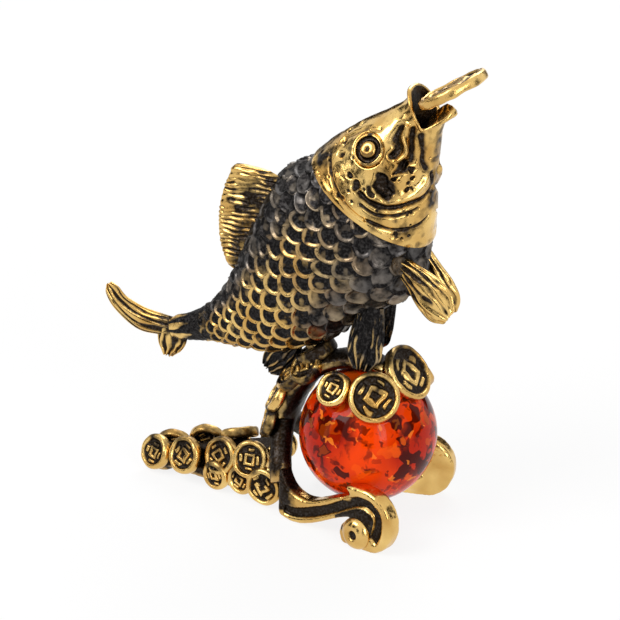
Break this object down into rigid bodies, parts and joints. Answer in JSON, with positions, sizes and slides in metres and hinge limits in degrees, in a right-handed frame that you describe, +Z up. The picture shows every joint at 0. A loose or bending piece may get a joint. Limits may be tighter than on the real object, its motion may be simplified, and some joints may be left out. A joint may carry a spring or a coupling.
{
  "type": "fish figurine",
  "caption": "Cast brass carp with a coin in its mouth, standing on an amber ball held between wave scrolls and a drift of coins; a free-standing table ornament.",
  "frame": {"origin": "on the table, under the middle of the whole figurine", "axes": "X towards the fish's head, Y to the fish's left, Z up from the table"},
  "size_m": [0.0424, 0.017, 0.0495],
  "materials": {
    "patinated_brass": "dark patina in the hollows, polished on the edges",
    "polished_brass": "polished, patina in the grooves",
    "coin_brass": "rim polished, face dark",
    "plain_brass": "as drawn",
    "amber": "polished pressed amber with flakes inside"
  },
  "bodies": {
    "root": {"amber_ball": "amber", "anal_fin": "patinated_brass", "arch": "patinated_brass", "arch_coin_1": "coin_brass", "arch_coin_2": "coin_brass", "arch_coin_3": "coin_brass", "arch_coin_4": "coin_brass", "arch_coin_5": "coin_brass", "arch_coin_6": "coin_brass", "ball_coin_front": "coin_brass", "ball_coin_rear": "coin_brass", "ball_coin_side": "coin_brass", "ball_coin_small": "coin_brass", "dorsal_fin": "polished_brass", "dowel_pin": "plain_brass", "fish_body": "patinated_brass", "fish_head": "polished_brass", "mouth_coin": "polished_brass", "pectoral_fin_left": "polished_brass", "pectoral_fin_right": "polished_brass", "pelvic_fin_left": "patinated_brass", "pelvic_fin_right": "patinated_brass", "scroll_left": "polished_brass", "scroll_right": "polished_brass", "seat_coin": "coin_brass", "tail_fin": "polished_brass", "trail_coin_1": "coin_brass", "trail_coin_10": "coin_brass", "trail_coin_11": "coin_brass", "trail_coin_12": "coin_brass", "trail_coin_2": "coin_brass", "trail_coin_3": "coin_brass", "trail_coin_4": "coin_brass", "trail_coin_5": "coin_brass", "trail_coin_6": "coin_brass", "trail_coin_7": "coin_brass", "trail_coin_8": "coin_brass", "trail_coin_9": "coin_brass", "trail_core": "patinated_brass"}
  },
  "joints": []
}
